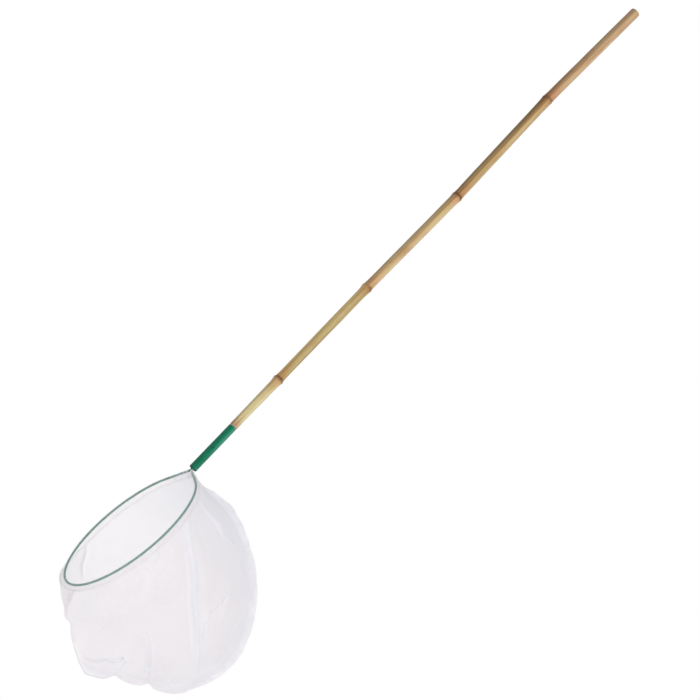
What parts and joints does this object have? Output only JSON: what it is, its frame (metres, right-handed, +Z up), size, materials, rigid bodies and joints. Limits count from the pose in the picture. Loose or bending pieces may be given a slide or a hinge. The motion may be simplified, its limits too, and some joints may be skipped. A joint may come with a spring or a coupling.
{
  "type": "pond net",
  "caption": "Pond net: a long bamboo cane with a crimped metal ferrule, a round wire hoop and a deep bag of sheer net sewn from panels, for scooping from water.",
  "frame": {"origin": "on the axis of the cane's top stretch, 90 mm below its top end, where a hand or a clip holds the net", "axes": "+X is the way the cane rises seen from above, +Y is level across the hoop, +Z is up; the cane slopes up and the bag hangs straight down"},
  "size_m": [0.8055, 0.1944, 0.845],
  "materials": {
    "bamboo": "satin, natural",
    "ferrule_green": "gloss enamel",
    "wire_green": "satin",
    "net_white": "sheer",
    "thread_white": "matt"
  },
  "bodies": {
    "root": {"bamboo_cane": "bamboo", "ferrule": "ferrule_green", "hoop_wire": "wire_green", "rim_casing": "net_white", "hem_stitches": "thread_white", "front_panel": "net_white", "back_panel": "net_white", "seam_stitches": "thread_white"}
  },
  "joints": []
}
